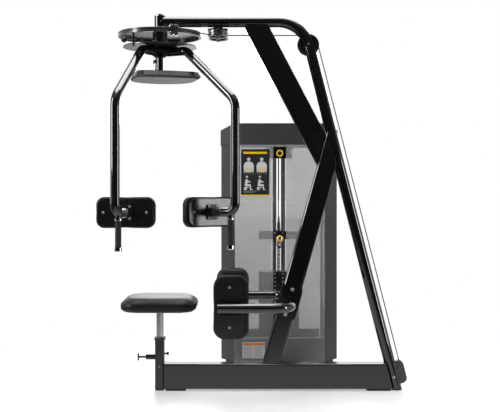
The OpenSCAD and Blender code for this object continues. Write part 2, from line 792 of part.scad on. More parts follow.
// Cable from the disc's rim, over the guide pulleys, down the rear leg, through the base, up the tower
module drive_cable() {
  guide_c = [guide_x, -guide_wrap_r];
  gap = norm(guide_c);
  bearing = atan2(guide_c.y, guide_c.x);
  swing = acos((disc_wrap_r + guide_wrap_r) / gap);
  leave = bearing - swing;
  from_disc = disc_wrap_r * [cos(leave), sin(leave)];
  to_guide = guide_c - guide_wrap_r * [cos(leave), sin(leave)];
  down = unit(rear_c - corner_c);
  out = [-down.z, 0, down.x];
  down_turn = acos(out.z);
  disc_end = [from_disc.x, from_disc.y, cable_z];
  guide_start = [to_guide.x, to_guide.y, cable_z];
  color("black") {
    bow([0, 0, cable_z], [cos(anchor_angle), sin(anchor_angle), 0],
        [-sin(anchor_angle), cos(anchor_angle), 0], leave - anchor_angle, disc_wrap_r, cable_r);
    bow([guide_c.x, guide_c.y, cable_z], [0, 1, 0], [-1, 0, 0], 90 + leave, guide_wrap_r, cable_r);
    bow(corner_c, [0, 0, 1], [1, 0, 0], down_turn, wrap_r, cable_r);
    bow(rear_c, out, down, 180 - down_turn, wrap_r, cable_r);
    bow(turn_c, [0, -1, 0], [-1, 0, 0], 90, wrap_r, cable_r);
    bow(base_c, [0, 0, -1], [0, 1, 0], 90, small_wrap_r, cable_r);
    bow(top_c, [0, 1, 0], [0, 0, 1], 180, small_wrap_r, cable_r);
    span(disc_end, guide_start);
    span([guide_x, 0, cable_z], [corner_c.x, 0, cable_z]);
    span(corner_c + out * wrap_r, rear_c + out * wrap_r);
    span(rear_c - [0, 0, wrap_r], turn_c - [0, wrap_r, 0]);
    span(turn_c - [wrap_r, 0, 0], base_c - [0, 0, small_wrap_r]);
    span(base_c + [0, small_wrap_r, 0], top_c + [0, small_wrap_r, 0]);
    rod([tower_x, stack_y, lifted_z0 + 215], [tower_x, stack_y, top_c.z - joint_gap],
        cable_r, cable_r - 0.6);
  }
}

// ---------- index disc ----------
module index_disc()
  color("dimgray")
    difference() {
      rotate_extrude($fn = 128)
        polygon([
          [spindle_r + run, boss_top + 1], [disc_hub_r, boss_top + 1], [disc_hub_r, disc_z[1] - web_t],
          [disc_r - rim_w, disc_z[1] - web_t], [disc_r - rim_w, disc_z[0]],
          [disc_r - 1, disc_z[0]], [disc_r, disc_z[0] + 1], [disc_r, cable_z - groove_half],
          [disc_r - groove_depth, cable_z - groove_half + 0.8],
          [disc_r - groove_depth, cable_z + groove_half - 0.8], [disc_r, cable_z + groove_half],
          [disc_r, disc_z[1] - 1], [disc_r - 1, disc_z[1]], [disc_hub_r, disc_z[1]],
          [disc_hub_r, disc_z[1] + 5],
          [spindle_r + run, disc_z[1] + 5]
        ]);
      for (k = [-4:4])
        rotate([0, 0, rig_heading + lever_angle + k * index_step])
          translate([index_r, 0, disc_z[1] - web_t - 1]) cylinder(h = web_t + 2, r = pin_r + 0.2);
    }

module cable_anchor()
  color("silver")
    rotate([0, 0, anchor_angle]) {
      translate([disc_r - 2, 0, disc_z[1] + seat_gap]) linear_extrude(8) polygon(round_rect(18, 44, 4));
      translate([disc_r - 2, 0, disc_z[0] - 14]) linear_extrude(14 - seat_gap)
        polygon(round_rect(18, 44, 4));
      for (y = [-12, 12]) {
        translate([disc_r - 2, y, disc_z[1] + 8]) cylinder(h = 6, r = 6.5, $fn = 6);
        translate([disc_r - 2, y, disc_z[0] - 20]) cylinder(h = 7, r = 6.5, $fn = 6);
      }
    }

// ---------- swinging rig ----------
module spindle()
  color("silver") {
    translate([0, 0, guard_z[1] + seat_gap]) cylinder(h = 1706 - guard_z[1] - seat_gap, r = post_r);
    translate([0, 0, 1705]) cylinder(h = housing_z[1] - 1705 + 0.6, r = spindle_r);
    translate([0, 0, housing_z[1]]) cylinder(h = 10, r = 8);
  }

module spindle_nut()
  color("gray")
    translate([0, 0, housing_z[1] + 0.6])
      difference() {
        union() {
          cylinder(h = 3, r = 25);
          translate([0, 0, 2]) cylinder(h = 8, r = 13, $fn = 6);
        }
        translate([0, 0, -1]) cylinder(h = 12, r = 8.02);
      }

module carrier_disc()
  color("dimgray")
    rig_frame()
      difference() {
        union() {
          translate([0, 0, carrier_z[0]]) cylinder(h = carrier_z[1] - carrier_z[0], r = carrier_r, $fn = 128);
          rotate([0, 0, lever_angle]) {
            for (side = [-1, 1])
              block([lever_pivot_r - 10, side * 14.5 - 2.5, carrier_z[1] - 1],
                    [lever_pivot_r + 10, side * 14.5 + 2.5, lever_z + 9]);
            rod([lever_pivot_r, -15, lever_z], [lever_pivot_r, 15, lever_z], 4);
          }
        }
        translate([0, 0, carrier_z[0] - 1]) cylinder(h = 10, r = boss_r + seat_gap);
        rotate([0, 0, lever_angle]) translate([index_r, 0, 1700]) cylinder(h = 20, r = pin_r + run);
      }

// Centre casting: a flared body that takes the arm roots, with a boss up through the carrier disc
module hub()
  color("black")
    rig_frame()
      difference() {
        union() {
          hull() {
            translate([0, 0, hub_z[0]]) cylinder(h = 4, r = 24, $fn = 32);
            translate([6, 0, hub_z[0] + 18]) cylinder(h = 2, r = 56, $fn = 32);
            for (side = [-1, 1])
              translate([30, side * 44, hub_z[1] - 20]) cylinder(h = 20, r = 36, $fn = 32);
            translate([-22, 0, hub_z[1] - 20]) cylinder(h = 20, r = 40, $fn = 32);
          }
          translate([0, 0, hub_z[1] - 1]) cylinder(h = boss_top - hub_z[1] + 1, r = boss_r);
        }
        translate([0, 0, hub_z[0] - 1]) cylinder(h = 1706 - hub_z[0] + 1.1, r = post_r + 0.02);
        translate([0, 0, 1700]) cylinder(h = 60, r = spindle_r + 0.02);
        both_sides() rod(arm_root, arm_shoulder + (arm_shoulder - arm_root), arm_r + seat_gap);
        translate([stay_at.x, stay_at.y, hub_z[0] - 1]) cylinder(h = stay_top - hub_z[0] + 1.1, r = 7.1);
      }

// Arm on the +y side of the rig, with the handle bar under its wrist
module arm() {
  bent_tube([arm_root, arm_shoulder, arm_elbow, arm_wrist, arm_tip], [48, 85, 46], arm_r, arm_r - arm_wall);
  translate([grip_at.x, grip_at.y, grip_z[0] - 12])
    cylinder(h = chest_z - grip_z[0] + 4, r = bar_r);
}

module arms() color("black") rig_frame() both_sides() arm();

module pad_frame() translate(chest_at) rotate([0, 0, chest_toe]) children();

module chest_brackets()
  color("black")
    rig_frame() both_sides() {
      pad_frame() rotate([90, 0, 90]) translate([0, 0, seat_gap])
        linear_extrude(8) polygon(round_rect(64, 74, 8));
      hull() {
        pad_frame() block([7, -20, -20], [9, 20, 20]);
        translate(arm_tip) rotate([0, -90, 45]) translate([0, 0, seat_gap]) cylinder(h = 6, r = 20, $fn = 32);
      }
    }

module chest_boards()
  color("black")
    rig_frame() both_sides() pad_frame()
      translate([-board_t, 0, 0]) rotate([90, 0, 90])
        linear_extrude(board_t) polygon(round_rect(chest_pad_l - 24, chest_pad_h - 20, 36));

module chest_cushion()
  pad_frame() translate([-board_t - chest_cushion_t, 0, 0]) rotate([90, 0, 90])
    linear_extrude(chest_cushion_t - seat_gap) polygon(round_rect(chest_pad_l, chest_pad_h, 40));

module left_chest_pad() color("dimgray") rig_frame() chest_cushion();
module right_chest_pad() color("dimgray") rig_frame() mirror([0, 1, 0]) chest_cushion();

module handle_grips()
  color("black")
    rig_frame() both_sides()
      rod([grip_at.x, grip_at.y, grip_z[0] + 0.2], [grip_at.x, grip_at.y, grip_z[1] - 0.2],
          grip_r, bar_r + 0.05);

module grip_collars()
  color("silver")
    rig_frame() both_sides() translate([grip_at.x, grip_at.y, 0]) {
      translate([0, 0, grip_z[1]]) rotate_extrude() polygon([
        [bar_r + 0.05, 0], [collar_r - 1, 0], [collar_r, 1], [collar_r, 9],
        [collar_r - 1, 10], [bar_r + 0.05, 10]]);
      translate([0, 0, grip_z[0] - 20]) rotate_extrude() polygon([
        [0, 0], [collar_r - 3, 0], [collar_r, 4], [collar_r, 20],
        [bar_r + 0.05, 20], [bar_r + 0.05, 7.9], [0, 7.9]]);
    }

// Outline of the head guard: a shallow point in front, an ellipse behind
function guard_outline(s) = [for (p = concat([[176, -8], [164, 130], [138, 162]],
  [for (a = [60:10:300]) [150 * cos(a) - 4, 168 * sin(a)]], [[138, -162], [164, -130]])) p * s + [0, 14]];

module head_guard()
  color("dimgray")
    rig_frame()
      hull() {
        translate([0, 0, guard_z[0]]) linear_extrude(2) polygon(guard_outline(0.94));
        translate([0, 0, guard_z[0] + 9]) linear_extrude(2) polygon(guard_outline(1));
        translate([0, 0, guard_z[1] - 2]) linear_extrude(2) polygon(guard_outline(0.92));
      }

module stay_rod()
  color("silver")
    rig_frame()
      union() {
        rod([stay_at.x, stay_at.y, guard_z[1] + seat_gap], [stay_at.x, stay_at.y, stay_top], 7);
        rod([stay_at.x, stay_at.y, 1634], [stay_at.x, stay_at.y, 1650], 11);
        rod([stay_at.x - 30, stay_at.y - 4, 1642], [stay_at.x, stay_at.y, 1642], 4.5);
      }

module index_plunger()
  color("silver")
    rig_frame() rotate([0, 0, lever_angle]) translate([index_r, 0, 0]) {
      rod([0, 0, 1700], [0, 0, disc_z[1] - web_t - 0.5], pin_r);
      rod([0, 0, lever_z - lever_t / 2 - 6], [0, 0, lever_z - lever_t / 2 - 3], 9);
      rod([0, 0, lever_z + lever_t / 2 + 3], [0, 0, lever_z + lever_t / 2 + 6], 9);
    }

module release_lever()
  color("black")
    rig_frame() rotate([0, 0, lever_angle])
      difference() {
        union() {
          block([lever_pivot_r - 9, -11, lever_z - lever_t / 2], [knob_at_r - 6, 11, lever_z + lever_t / 2]);
          rod([lever_pivot_r, -11, lever_z], [lever_pivot_r, 11, lever_z], 9);
          translate([knob_at_r, 0, knob_z]) sphere(r = 15, $fn = 48);
        }
        rod([lever_pivot_r, -20, lever_z], [lever_pivot_r, 20, lever_z], 4 + run);
        translate([index_r, 0, lever_z - 10]) cylinder(h = 20, r = pin_r + 2.5);
      }

main_tube();
base_beam();
lower_strut();
upper_strut();
pivot_housing();
pivot_bearings();
seat_sleeve();
seat_bush();
rubber_feet();
tower_base();
tower_frame();
guide_rods();
stack_bumpers();
weight_plates();
front_panel();
rear_panel();
side_panels();
top_cap();
info_plates();
guide_bracket();
pulley_axles();
rear_pulley_guard();
drive_cable();
leg_bracket();
leg_bars();
leg_boards();
near_leg_pad();
far_leg_pad();
frame_bolts();
index_disc();
cable_anchor();
spindle();
spindle_nut();
carrier_disc();
hub();
arms();
chest_brackets();
chest_boards();
left_chest_pad();
right_chest_pad();
handle_grips();
grip_collars();
head_guard();
stay_rod();
index_plunger();
release_lever();
lifted_plates();
selector_stem();
selector_pin();
increment_weight();
near_guide_pulley();
far_guide_pulley();
corner_pulley();
rear_pulley();
turn_pulley();
tower_base_pulley();
tower_top_pulley();
seat_post();
seat_cushion();
seat_pin();
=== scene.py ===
"""Rotary torso machine: finishes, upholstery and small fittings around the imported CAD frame."""
import json
import math

import bmesh
import bpy
import numpy as np
from mathutils import Matrix, Vector
from mathutils.bvhtree import BVHTree


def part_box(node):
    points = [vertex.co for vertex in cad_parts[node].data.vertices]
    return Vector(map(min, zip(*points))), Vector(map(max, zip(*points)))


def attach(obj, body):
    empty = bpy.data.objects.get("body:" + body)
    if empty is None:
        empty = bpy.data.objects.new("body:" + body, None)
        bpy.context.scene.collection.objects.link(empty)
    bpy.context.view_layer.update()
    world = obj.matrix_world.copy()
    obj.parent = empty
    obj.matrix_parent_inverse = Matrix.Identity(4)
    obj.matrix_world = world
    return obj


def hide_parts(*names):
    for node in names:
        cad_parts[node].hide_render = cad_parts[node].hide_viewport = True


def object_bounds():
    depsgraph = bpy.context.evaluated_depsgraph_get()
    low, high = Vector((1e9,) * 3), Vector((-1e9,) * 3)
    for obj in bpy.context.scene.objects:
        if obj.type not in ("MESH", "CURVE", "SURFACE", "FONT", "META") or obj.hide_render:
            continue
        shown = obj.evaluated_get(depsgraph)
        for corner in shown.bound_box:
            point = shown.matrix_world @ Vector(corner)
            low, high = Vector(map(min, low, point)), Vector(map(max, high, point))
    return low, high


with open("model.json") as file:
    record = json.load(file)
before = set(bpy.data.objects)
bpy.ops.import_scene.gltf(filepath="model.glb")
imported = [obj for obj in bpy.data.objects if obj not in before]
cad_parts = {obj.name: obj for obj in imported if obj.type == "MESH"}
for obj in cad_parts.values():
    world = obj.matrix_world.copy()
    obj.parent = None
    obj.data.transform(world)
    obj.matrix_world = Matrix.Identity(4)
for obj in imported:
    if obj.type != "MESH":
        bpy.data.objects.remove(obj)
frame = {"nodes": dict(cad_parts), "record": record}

CAD_LO, CAD_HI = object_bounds()
NODES = frame["nodes"]
UP = Vector((0, 0, 1))


# ---------------------------------------------------------------- materials
class Graph:
    """Short-hand for building one node material."""

    def __init__(self, name):
        self.mat = bpy.data.materials.new(name)
        self.mat.use_nodes = True
        self.tree = self.mat.node_tree
        self.tree.nodes.clear()
        self.out = self.add("ShaderNodeOutputMaterial")
        self.coords = self.add("ShaderNodeTexCoord").outputs["Object"]

    def add(self, kind, **values):
        node = self.tree.nodes.new(kind)
        for key, value in values.items():
            setattr(node, key, value)
        return node

    def link(self, a, b):
        self.tree.links.new(a, b)

    def stretched(self, scale):
        node = self.add("ShaderNodeMapping")
        node.inputs["Scale"].default_value = scale
        self.link(self.coords, node.inputs["Vector"])
        return node.outputs["Vector"]

    def noise(self, scale, detail=3.0, rough=0.5, vector=None):
        node = self.add("ShaderNodeTexNoise")
        node.inputs["Scale"].default_value = scale
        node.inputs["Detail"].default_value = detail
        node.inputs["Roughness"].default_value = rough
        self.link(vector or self.coords, node.inputs["Vector"])
        return node.outputs["Fac"]

    def cells(self, scale, feature="F1", vector=None):
        node = self.add("ShaderNodeTexVoronoi", feature=feature)
        node.inputs["Scale"].default_value = scale
        self.link(vector or self.coords, node.inputs["Vector"])
        return node.outputs["Distance"]

    def remap(self, value, lo, hi, to_lo, to_hi):
        node = self.add("ShaderNodeMapRange")
        self.link(value, node.inputs["Value"])
        for name, number in zip(("From Min", "From Max", "To Min", "To Max"), (lo, hi, to_lo, to_hi)):
            node.inputs[name].default_value = number
        return node.outputs["Result"]

    def maths(self, operation, a, b):
        node = self.add("ShaderNodeMath", operation=operation)
        for socket, value in zip(node.inputs, (a, b)):
            if isinstance(value, (int, float)):
                socket.default_value = value
            else:
                self.link(value, socket)
        return node.outputs[0]

    def blend(self, factor, a, b):
        node = self.add("ShaderNodeMix", data_type="RGBA")
        for socket, value in zip((node.inputs[0], node.inputs[6], node.inputs[7]), (factor, a, b)):
            if isinstance(value, (int, float)):
                socket.default_value = value
            elif isinstance(value, tuple):
                socket.default_value = (*value, 1.0)
            else:
                self.link(value, socket)
        return node.outputs[2]

    def bump(self, height, strength, distance=0.001, normal=None):
        node = self.add("ShaderNodeBump")
        node.inputs["Strength"].default_value = strength
        node.inputs["Distance"].default_value = distance
        self.link(height, node.inputs["Height"])
        if normal is not None:
            self.link(normal, node.inputs["Normal"])
        return node.outputs["Normal"]

    def edge_wear(self, radius=0.0015):
        """(mask that is 1 on sharp edges, softened normal)"""
        bevel = self.add("ShaderNodeBevel", samples=4)
        bevel.inputs["Radius"].default_value = radius
        flat = self.add("ShaderNodeNewGeometry").outputs["Normal"]
        dot = self.add("ShaderNodeVectorMath", operation="DOT_PRODUCT")
        self.link(bevel.outputs["Normal"], dot.inputs[0])
        self.link(flat, dot.inputs[1])
        return self.remap(dot.outputs["Value"], 0.99, 0.86, 0.0, 1.0), bevel.outputs["Normal"]

    def surface(self, base, rough, metallic=0.0, coat=0.0, normal=None, **extra):
        node = self.add("ShaderNodeBsdfPrincipled")
        values = {"Base Color": base, "Roughness": rough, "Metallic": metallic, "Coat Weight": coat}
        values.update(extra)
        for name, value in values.items():
            socket = node.inputs[name]
            if isinstance(value, tuple):
                socket.default_value = (*value, 1.0)
            elif isinstance(value, (int, float)):
                socket.default_value = value
            else:
                self.link(value, socket)
        if normal is not None:
            self.link(normal, node.inputs["Normal"])
        self.link(node.outputs[0], self.out.inputs["Surface"])
        return node


def paint(name, base, worn, rough, coat, peel=0.04, wear=0.35):
    """Powder-coated steel: fine orange peel, faint handling marks, paint rubbed thin on edges."""
    g = Graph(name)
    edge, soft = g.edge_wear()
    patches = g.remap(g.noise(7.0, 3.0, 0.5), 0.3, 0.75, 0.0, 1.0)
    rub = g.maths("MULTIPLY", edge, g.remap(g.noise(60.0, 5.0, 0.7), 0.45, 0.65, 0.0, wear))
    shade = g.blend(patches, base, tuple(min(1.0, c * 1.2 + 0.0005) for c in base))
    colour = g.blend(rub, shade, worn)
    scratches = g.remap(g.noise(30.0, 8.0, 0.75, g.stretched((1.0, 1.0, 0.12))), 0.62, 0.78, 0.0, 0.06)
    roughness = g.maths("ADD", g.remap(patches, 0.0, 1.0, rough * 0.95, rough * 1.08), scratches)
    normal = g.bump(g.noise(700.0, 2.0), peel, 0.0006, soft)
    g.surface(colour, roughness, 0.0, coat, normal, **{"Coat Roughness": rough * 0.5})
    return g.mat


def moulded(name, base, rough, grain, depth, gloss=0.5):
    """Moulded plastic with a sparked texture."""
    g = Graph(name)
    _, soft = g.edge_wear(0.001)
    pebbles = g.maths("ADD", g.noise(grain, 3.0, 0.6), g.cells(grain * 0.6, "SMOOTH_F1"))
    tone = g.blend(g.remap(g.noise(5.0, 3.0), 0.3, 0.7, 0.0, 1.0), base, tuple(c * 1.25 for c in base))
    shine = g.remap(pebbles, 0.3, 1.3, rough * 0.8, rough * 1.2)
    g.surface(tone, shine, normal=g.bump(pebbles, depth, 0.0008, soft), **{"Specular IOR Level": gloss})
    return g.mat


def hide(name, base, rough=0.42):
    """Upholstery vinyl: pebbled grain, fine creases, a little sheen."""
    g = Graph(name)
    pebbles = g.cells(520.0, "SMOOTH_F1")
    crease = g.remap(g.noise(46.0, 6.0, 0.62), 0.44, 0.56, 0.0, 1.0)
    height = g.maths("ADD", g.remap(pebbles, 0.0, 0.8, 1.0, 0.0), g.maths("MULTIPLY", crease, 0.25))
    tone = g.blend(g.remap(g.noise(7.0, 4.0), 0.35, 0.65, 0.0, 1.0), base, tuple(c * 1.5 for c in base))
    shine = g.remap(pebbles, 0.0, 0.7, rough * 0.85, rough * 1.25)
    g.surface(tone, shine, normal=g.bump(height, 0.32, 0.0007), coat=0.06,
              **{"Coat Roughness": 0.25, "Specular IOR Level": 0.28})
    return g.mat


def brushed(name, base, rough, direction=(1.0, 1.0, 0.02), streaks=420.0):
    """Turned or brushed steel, streaked along one direction."""
    g = Graph(name)
    _, soft = g.edge_wear(0.0008)
    lines = g.noise(streaks, 4.0, 0.7, g.stretched(direction))
    tone = g.blend(g.remap(lines, 0.3, 0.7, 0.0, 1.0), base, tuple(c * 0.75 for c in base))
    g.surface(tone, g.remap(lines, 0.3, 0.7, rough * 0.7, rough * 1.3), 1.0,
              normal=g.bump(lines, 0.08, 0.0004, soft), Anisotropic=0.4)
    return g.mat


def chromed(name):
    g = Graph(name)
    smear = g.noise(24.0, 5.0, 0.7)
    g.surface((0.78, 0.78, 0.79), g.remap(smear, 0.4, 0.7, 0.05, 0.16), 1.0,
              normal=g.bump(g.noise(160.0, 2.0), 0.02, 0.0003))
    return g.mat


def rubbery(name, base, grain=900.0):
    g = Graph(name)
    dust = g.remap(g.noise(30.0, 6.0, 0.7), 0.5, 0.75, 0.0, 0.5)
    tone = g.blend(dust, base, tuple(c * 2.2 + 0.01 for c in base))
    g.surface(tone, g.remap(dust, 0.0, 0.5, 0.55, 0.8), normal=g.bump(g.noise(grain, 3.0), 0.25, 0.0005))
    return g.mat


def cast(name, base):
    """Black-painted weight plate: sandy casting skin, bare metal on its corners."""
    g = Graph(name)
    edge, soft = g.edge_wear(0.0014)
    skin = g.noise(380.0, 5.0, 0.65)
    rub = g.maths("MULTIPLY", edge, g.remap(g.noise(80.0, 5.0, 0.7), 0.4, 0.6, 0.1, 0.7))
    g.surface(g.blend(rub, base, (0.28, 0.28, 0.29)), g.remap(skin, 0.3, 0.7, 0.35, 0.6),
              g.maths("MULTIPLY", rub, 0.8), 0.1, g.bump(skin, 0.22, 0.0006, soft))
    return g.mat


def smoked(name):
    """Frosted, smoked sheet that shows blurred shapes behind it, with painted shading that makes its colour
    lighter towards the top.
    """
    g = Graph(name)
    grain = g.noise(1400.0, 2.0)
    height = g.add("ShaderNodeSeparateXYZ")
    g.link(g.coords, height.inputs[0])
    # painted shading: the sheet's colour goes from darker at the bottom to lighter at the top
    fade = g.remap(height.outputs["Z"], 0.05, 1.25, 0.0, 1.0)
    body = g.add("ShaderNodeBsdfPrincipled")
    tone = g.blend(fade, (0.44, 0.44, 0.445), (0.72, 0.72, 0.725))
    g.link(tone, body.inputs["Base Color"])
    body.inputs["Roughness"].default_value = 0.32
    body.inputs["Coat Weight"].default_value = 0.25
    g.link(g.bump(grain, 0.06, 0.0003), body.inputs["Normal"])
    frost = g.add("ShaderNodeBsdfRefraction")
    frost.inputs["Color"].default_value = (0.92, 0.92, 0.925, 1.0)
    frost.inputs["Roughness"].default_value = 0.24
    frost.inputs["IOR"].default_value = 1.02
    mix = g.add("ShaderNodeMixShader")
    mix.inputs[0].default_value = 0.68
    g.link(body.outputs[0], mix.inputs[1])
    g.link(frost.outputs[0], mix.inputs[2])
    g.link(mix.outputs[0], g.out.inputs["Surface"])
    return g.mat


def printed(name, base, rough=0.35):
    g = Graph(name)
    speck = g.noise(220.0, 3.0)
    tone = g.blend(g.remap(speck, 0.3, 0.7, 0.0, 0.35), base, tuple(min(1.0, c * 1.2) for c in base))
    g.surface(tone, g.remap(speck, 0.3, 0.7, rough * 0.8, rough * 1.2), coat=0.2,
              normal=g.bump(speck, 0.03, 0.0002))
    return g.mat


WORN = (0.16, 0.16, 0.165)
MAT = {
    "gloss_black": paint("gloss_black", (0.004, 0.004, 0.0045), WORN, 0.09, 0.9, 0.02, 0.15),
    "satin_black": paint("satin_black", (0.004, 0.004, 0.0045), WORN, 0.16, 0.35, 0.04, 0.15),
    "soft_black": paint("soft_black", (0.006, 0.006, 0.0065), WORN, 0.42, 0.0, 0.05, 0.1),
    "beam_grey": paint("beam_grey", (0.010, 0.010, 0.0105), WORN, 0.20, 0.4, 0.04, 0.15),
    "satin_grey": paint("satin_grey", (0.030, 0.030, 0.031), WORN, 0.26, 0.35, 0.04, 0.2),
    "steel": brushed("steel", (0.55, 0.55, 0.56), 0.28),
    "zinc": brushed("zinc", (0.50, 0.50, 0.51), 0.34),
    "post_steel": brushed("post_steel", (0.80, 0.80, 0.81), 0.34),
    "chrome": chromed("chrome"),
    "rubber_black": rubbery("rubber_black", (0.012, 0.012, 0.012)),
    "plate_black": cast("plate_black", (0.014, 0.014, 0.015)),
    "smoked_sheet": smoked("smoked_sheet"),
    "grey_plastic": moulded("grey_plastic", (0.040, 0.040, 0.042), 0.5, 260.0, 0.9, 0.3),
    "guard_plastic": moulded("guard_plastic", (0.03, 0.03, 0.032), 0.36, 700.0, 0.25),
    "board_black": moulded("board_black", (0.005, 0.005, 0.0055), 0.24, 700.0, 0.15, 0.8),
    "pad_black": hide("pad_black", (0.008, 0.008, 0.009)),
    "pulley_black": moulded("pulley_black", (0.008, 0.008, 0.008), 0.35, 800.0, 0.15),
    "pulley_grey": brushed("pulley_grey", (0.22, 0.22, 0.23), 0.3, (1.0, 1.0, 0.1), 300.0),
    "cable_black": rubbery("cable_black", (0.02, 0.02, 0.02), 1500.0),
    "placard_dark": printed("placard_dark", (0.022, 0.022, 0.024)),
    "pin_yellow": printed("pin_yellow", (0.80, 0.52, 0.01), 0.28),
    "print_orange": printed("print_orange", (0.80, 0.22, 0.03)),
    "print_pale": printed("print_pale", (0.62, 0.62, 0.60)),
    "print_grey": printed("print_grey", (0.22, 0.22, 0.22)),
}


def finish_with(obj, key):
    obj.data.materials.clear()
    obj.data.materials.append(MAT[key])


# nodes whose finish differs from their slot's usual one
SPECIAL = {
    "lower_strut": "satin_black", "upper_strut": "satin_black", "leg_bracket": "satin_black",
    "seat_sleeve": "satin_black", "guide_bracket": "satin_black", "base_beam": "beam_grey",
    "head_guard": "guard_plastic", "spindle": "gloss_black", "stay_rod": "chrome", "guide_rods": "chrome",
    "seat_post": "post_steel", "index_plunger": "soft_black", "pulley_axles": "zinc",
    "chest_brackets": "soft_black", "release_lever": "soft_black", "seat_pin": "soft_black",
}
slots = {s["node"]: s["material_slot"] for s in frame["record"]["subparts"]}
for node_name, node_obj in NODES.items():
    finish_with(node_obj, SPECIAL.get(node_name, slots[node_name]))
    node_obj.data.shade_smooth()
    node_obj.data.set_sharp_from_angle(angle=math.radians(32))


# ---------------------------------------------------------------- mesh helpers
def new_object(name, bm, key, body, smooth=True):
    mesh = bpy.data.meshes.new(name)
    bmesh.ops.recalc_face_normals(bm, faces=bm.faces)
    bm.to_mesh(mesh)
    bm.free()
    obj = bpy.data.objects.new(name, mesh)
    bpy.context.scene.collection.objects.link(obj)
    mesh.materials.append(MAT[key])
    if smooth:
        mesh.shade_smooth()
        mesh.set_sharp_from_angle(angle=math.radians(34))
    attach(obj, body)
    return obj


def place(origin, x_axis, y_axis, z_axis):
    m = Matrix((x_axis, y_axis, z_axis)).transposed().to_4x4()
    m.translation = origin
    return m


def slab_frame(name):
    """Local frame of a flat CAD piece: (matrix with z along its thickness, half sizes)."""
    mesh = NODES[name].data
    areas = {}
    for f in mesh.polygons:
        n = max(f.normal, -f.normal, key=tuple)
        key = tuple(round(c, 2) for c in n)
        total, normal = areas.get(key, (0.0, Vector((0, 0, 0))))
        areas[key] = (total + f.area, normal + n * f.area)
    across = max(areas.values(), key=lambda pair: pair[0])[1].normalized()
    up = UP if abs(across.z) < 0.7 else Vector((0, 1, 0))
    side = up.cross(across).normalized()
    up = across.cross(side)
    rot = place(Vector((0, 0, 0)), side, up, across)
    pts = [rot.inverted() @ v.co for v in mesh.vertices]
    lo = Vector([min(p[i] for p in pts) for i in range(3)])
    hi = Vector([max(p[i] for p in pts) for i in range(3)])
    rot.translation = rot @ ((lo + hi) / 2)
    return rot, (hi - lo) / 2


def outline(half_w, half_h, radius, per_corner=10):
    """Points round a rounded rectangle."""
    pts = []
    for cx, cy, start in ((1, 1, 0), (-1, 1, 90), (-1, -1, 180), (1, -1, 270)):
        for i in range(per_corner):
            a = math.radians(start + 90 * i / (per_corner - 1))
            pts.append((cx * (half_w - radius) + radius * math.cos(a),
                        cy * (half_h - radius) + radius * math.sin(a)))
    return pts


def loft(bm, rings, close=True, cap_ends=True):
    """Skin over rings of points with equal counts."""
    rows = [[bm.verts.new(p) for p in ring] for ring in rings]
    count = len(rows[0])
    for lower, upper in zip(rows, rows[1:]):
        for i in range(count if close else count - 1):
            j = (i + 1) % count
            bm.faces.new((lower[i], lower[j], upper[j], upper[i]))
    if cap_ends:
        bm.faces.new(list(reversed(rows[0])))
        bm.faces.new(rows[-1])
    return rows


def scaled_outline(half_w, half_h, radius, inset, z):
    r = max(radius - inset, 0.004)
    return [(x, y, z) for x, y in outline(half_w - inset, half_h - inset, r)]


# (height as a share of the half thickness, inset) up the side of a pad and of the seat
PAD_STEPS = ((-1.0, 0.006), (-0.96, 0.002), (-0.6, 0.0), (0.1, 0.0), (0.55, 0.003), (0.8, 0.010),
             (0.93, 0.022))
SEAT_STEPS = ((-1.0, 0.022), (-0.86, 0.012), (-0.55, 0.002), (-0.2, 0.0), (0.2, 0.001), (0.5, 0.008),
              (0.75, 0.020), (0.92, 0.036))


def pad_mesh(half, radius, steps, front):
    """Closed cushion in its own frame; its crowned face looks along front * z."""
    bm = bmesh.new()
    w, h, t = half
    rings = [scaled_outline(w, h, radius, inset, t * s * front) for s, inset in steps]
    for k, rise in ((0.045, 0.97), (0.07, 1.0)):
        rings.append(scaled_outline(w, h, radius, min(k, min(w, h) * 0.8), t * rise * front))
    loft(bm, rings)
    bmesh.ops.transform(bm, matrix=Matrix.Scale(0.985, 4), verts=bm.verts)
    return bm


# share of the cloth's sideways movement that a pad keeps: its board holds its outline straight
SIDE_GIVE = 0.15


def evened(mesh, values, rounds):
    """Vectors on a mesh's vertices, averaged with their neighbours' over and over."""
    ends = np.empty(len(mesh.edges) * 2, dtype=np.int64)
    mesh.edges.foreach_get("vertices", ends)
    a, b = ends[0::2], ends[1::2]
    values = np.array([tuple(v) for v in values])
    count = (np.bincount(a, minlength=len(values)) + np.bincount(b, minlength=len(values)))[:, None]
    for _ in range(rounds):
        total = np.zeros_like(values)
        np.add.at(total, a, values[b])
        np.add.at(total, b, values[a])
        values = (values + total / np.maximum(count, 1)) / 2
    return values


def swell(obj, matrix, front, cap, voxel=0.005):
    """Inflate a pad as cloth under pressure, with each point held near where it started."""
    remesh = obj.modifiers.new("remesh", "REMESH")
    remesh.mode = "VOXEL"
    remesh.voxel_size = voxel
    apply_modifiers(obj)
    start = [v.co.copy() for v in obj.data.vertices]
    cloth = obj.modifiers.new("cloth", "CLOTH")
    cloth.settings.use_pressure = True
    cloth.settings.uniform_pressure_force = 4.0
    cloth.settings.effector_weights.gravity = 0.0
    cloth.settings.quality = 4
    scene = bpy.context.scene
    for f in range(1, 21):
        scene.frame_set(f)
    apply_modifiers(obj)
    scene.frame_set(1)
    turn = matrix.to_3x3()
    back = turn.transposed()
    moves = []
    for v, old in zip(obj.data.vertices, start):
        local = back @ (v.co - old)
        if local.z * front < 0:
            local.z *= 0.1
        local.x *= SIDE_GIVE
        local.y *= SIDE_GIVE
        if local.length > cap:
            local *= cap / local.length
        moves.append(local)
    moves = evened(obj.data, moves, 24)
    for v, old, local in zip(obj.data.vertices, start, moves):
        v.co = old + turn @ Vector(local)


def apply_modifiers(obj):
    graph = bpy.context.evaluated_depsgraph_get()
    mesh = bpy.data.meshes.new_from_object(obj.evaluated_get(graph), depsgraph=graph)
    obj.modifiers.clear()
    old = obj.data
    obj.data = mesh
    bpy.data.meshes.remove(old)


